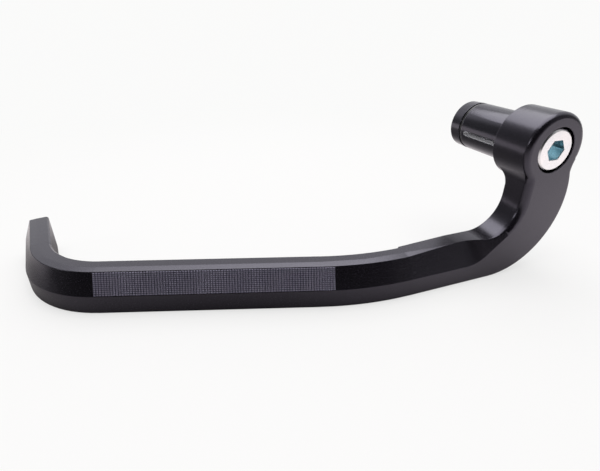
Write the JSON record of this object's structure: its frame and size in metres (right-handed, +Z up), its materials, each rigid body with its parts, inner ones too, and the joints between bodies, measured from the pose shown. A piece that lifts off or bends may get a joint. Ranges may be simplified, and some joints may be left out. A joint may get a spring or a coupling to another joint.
{
  "type": "brake lever guard",
  "caption": "J-shaped bar end guard for a motorcycle brake lever: a bevelled, knurled aluminium blade on a round boss with an expander sleeve, rubber ring and socket head bolt.",
  "frame": {"origin": "on the bolt axis at the root of the expander sleeve, where the end of the handlebar's tube comes", "axes": "+Y along the bolt into the handlebar, +Z up with the guard lying on its flat lower side, -X along the blade towards the hook"},
  "size_m": [0.1737, 0.0751, 0.0535],
  "materials": {
    "black_anodised": "satin black anodised",
    "sleeve_anodised": "satin black anodised, turned",
    "zinc_steel": "bright zinc plated",
    "rubber_ring": "smooth black rubber"
  },
  "bodies": {
    "root": {"guard_arm": "black_anodised", "clamp_bolt": "zinc_steel", "expander_sleeve": "sleeve_anodised", "sealing_ring": "rubber_ring"}
  },
  "joints": []
}
